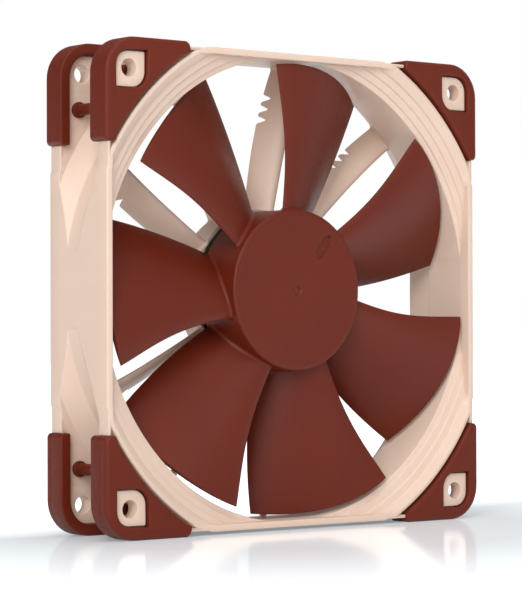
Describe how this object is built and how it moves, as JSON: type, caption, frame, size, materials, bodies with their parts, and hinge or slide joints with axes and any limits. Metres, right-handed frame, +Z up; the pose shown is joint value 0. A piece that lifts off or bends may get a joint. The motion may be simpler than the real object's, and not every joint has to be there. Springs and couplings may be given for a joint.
{
  "type": "case fan",
  "caption": "Square axial case fan with a brown blade rotor in a beige ducted frame, guide vanes behind the rotor and soft brown corner pads.",
  "frame": {"origin": "centre of the fan: on the rotor axis, half way between the front and rear faces", "axes": "+Z up with the fan standing on its lower corner pads, +X to the right seen from the intake side, +Y along the rotor axis from the intake to the outlet"},
  "size_m": [0.12, 0.0262, 0.12],
  "materials": {
    "board": "green circuit board",
    "brass": "turned brass",
    "chip_plastic": "black",
    "copper_winding": "enamelled copper",
    "frame_plastic": "matte beige moulding",
    "impeller_plastic": "matte brown moulding",
    "insulator_plastic": "moulded",
    "laminations": "stamped sheet",
    "magnet": "bonded ferrite",
    "pad_silicone": "matte brown silicone",
    "rear_disc": "satin, blank",
    "seal_rubber": "black",
    "steel": "turned steel"
  },
  "bodies": {
    "housing": {"bearing_sleeve": "brass", "bearing_tube": "brass", "capacitor_1": "chip_plastic", "capacitor_2": "chip_plastic", "circuit_board": "board", "coil_1": "copper_winding", "coil_2": "copper_winding", "coil_3": "copper_winding", "coil_4": "copper_winding", "driver_chip": "chip_plastic", "frame": "frame_plastic", "guide_vane_01": "frame_plastic", "guide_vane_02": "frame_plastic", "guide_vane_03": "frame_plastic", "guide_vane_04": "frame_plastic", "guide_vane_05": "frame_plastic", "guide_vane_06": "frame_plastic", "guide_vane_07": "frame_plastic", "guide_vane_08": "frame_plastic", "guide_vane_09": "frame_plastic", "guide_vane_10": "frame_plastic", "guide_vane_11": "frame_plastic", "hall_sensor": "chip_plastic", "insulator_front": "insulator_plastic", "insulator_rear": "insulator_plastic", "motor_base": "frame_plastic", "oil_seal": "seal_rubber", "pad_front_lower_left": "pad_silicone", "pad_front_lower_right": "pad_silicone", "pad_front_upper_left": "pad_silicone", "pad_front_upper_right": "pad_silicone", "pad_rear_lower_left": "pad_silicone", "pad_rear_lower_right": "pad_silicone", "pad_rear_upper_left": "pad_silicone", "pad_rear_upper_right": "pad_silicone", "rear_disc": "rear_disc", "stator_core": "laminations", "thrust_cap": "steel"},
    "rotor": {"blade_1": "impeller_plastic", "blade_2": "impeller_plastic", "blade_3": "impeller_plastic", "blade_4": "impeller_plastic", "blade_5": "impeller_plastic", "blade_6": "impeller_plastic", "blade_7": "impeller_plastic", "hub_shell": "impeller_plastic", "rotor_cup": "steel", "magnet_ring": "magnet", "shaft_bush": "brass", "shaft": "steel", "retaining_clip": "steel"}
  },
  "joints": [
    {"name": "rotor_spin", "type": "hinge", "parent": "housing", "child": "rotor", "pos_m": [0, 0, 0], "axis": [0, -1, 0], "continuous": true}
  ]
}
